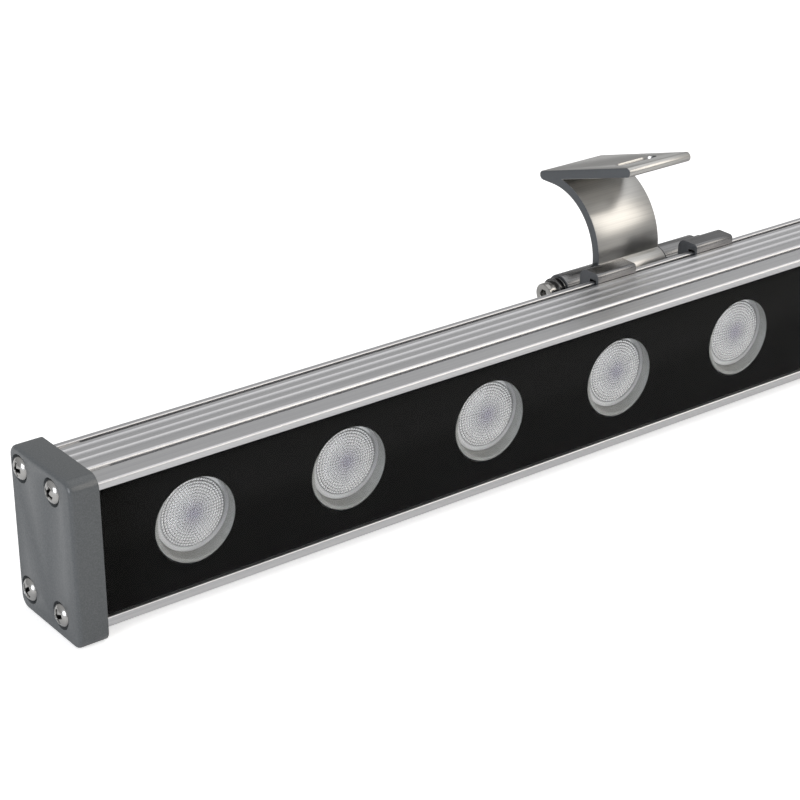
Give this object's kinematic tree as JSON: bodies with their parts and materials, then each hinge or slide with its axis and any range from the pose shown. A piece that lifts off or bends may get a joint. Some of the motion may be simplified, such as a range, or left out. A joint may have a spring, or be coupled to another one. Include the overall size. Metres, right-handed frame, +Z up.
{
  "type": "linear floodlight",
  "caption": "Long aluminium outdoor floodlight with a row of round beaded lenses behind black-printed glass, end caps and two tilting brackets that slide on a rail.",
  "frame": {"origin": "under the middle of the whole lamp with its brackets and gland, on the surface that the end caps stand on", "axes": "+X along the lamp towards the end with the cable gland, -Y the way the light leaves, +Z up"},
  "size_m": [1.029, 0.0716, 0.0762],
  "materials": {
    "housing_anodised": "satin anodised",
    "cap_coat": "fine textured grey powder coat",
    "black_print": "black enamel print",
    "clear_glass": "polished",
    "clear_acrylic": "polished, beaded",
    "holder_grey": "moulded",
    "seal_rubber": "matt",
    "board_white": "white solder resist",
    "board_green": "green solder resist",
    "emitter": "phosphor under silicone",
    "steel": "stainless",
    "black_steel": "black oxide",
    "clamp_anodised": "satin anodised",
    "arm_anodised": "satin anodised",
    "gland_nylon": "moulded nylon",
    "part_black": "moulded",
    "wire_red": "extruded insulation",
    "pad_grey": "soft heat pad"
  },
  "bodies": {
    "lamp": {"housing": "housing_anodised", "end_cap_left": "cap_coat", "end_cap_right": "cap_coat", "end_gasket_left": "seal_rubber", "end_gasket_right": "seal_rubber", "end_screws_left": "steel", "end_screws_right": "steel", "front_glass": "clear_glass", "black_mask": "black_print", "glass_seal": "seal_rubber", "lens_holders": "holder_grey", "led_board_left": "board_white", "led_board_right": "board_white", "led_emitters": "emitter", "board_screws": "steel", "driver_pad": "pad_grey", "driver_board": "board_green", "driver_coils": "part_black", "driver_capacitors": "part_black", "link_wires": "wire_red", "supply_wire": "part_black", "gland_body": "gland_nylon", "gland_nut": "gland_nylon", "gland_seal": "seal_rubber", "lens_01": "clear_acrylic", "lens_02": "clear_acrylic", "lens_03": "clear_acrylic", "lens_04": "clear_acrylic", "lens_05": "clear_acrylic", "lens_06": "clear_acrylic", "lens_07": "clear_acrylic", "lens_08": "clear_acrylic", "lens_09": "clear_acrylic", "lens_10": "clear_acrylic", "lens_11": "clear_acrylic", "lens_12": "clear_acrylic", "lens_13": "clear_acrylic", "lens_14": "clear_acrylic", "lens_15": "clear_acrylic", "lens_16": "clear_acrylic", "lens_17": "clear_acrylic", "lens_18": "clear_acrylic", "lens_19": "clear_acrylic", "lens_20": "clear_acrylic"},
    "left_clamps": {"left_clamp_outer": "clamp_anodised", "left_clamp_inner": "clamp_anodised", "left_hinge_screw": "steel", "left_hinge_washers": "steel", "left_spring_washer": "steel", "left_hinge_nut": "steel", "left_set_screws": "black_steel"},
    "left_bracket_arm": {"left_arm": "arm_anodised"},
    "right_clamps": {"right_clamp_outer": "clamp_anodised", "right_clamp_inner": "clamp_anodised", "right_hinge_screw": "steel", "right_hinge_washers": "steel", "right_spring_washer": "steel", "right_hinge_nut": "steel", "right_set_screws": "black_steel"},
    "right_bracket_arm": {"right_arm": "arm_anodised"}
  },
  "joints": [
    {"name": "left_bracket_slide", "type": "slide", "parent": "lamp", "child": "left_clamps", "axis": [1, 0, 0], "range_m": [-0.175, 0.24]},
    {"name": "left_bracket_tilt", "type": "hinge", "parent": "left_clamps", "child": "left_bracket_arm", "pos_m": [-0.2903, 0.00735, 0.03685], "axis": [1, 0, 0], "range_deg": [-150, 55]},
    {"name": "right_bracket_slide", "type": "slide", "parent": "lamp", "child": "right_clamps", "axis": [1, 0, 0], "range_m": [-0.24, 0.175]},
    {"name": "right_bracket_tilt", "type": "hinge", "parent": "right_clamps", "child": "right_bracket_arm", "pos_m": [0.2765, 0.00735, 0.03685], "axis": [1, 0, 0], "range_deg": [-150, 55]}
  ]
}
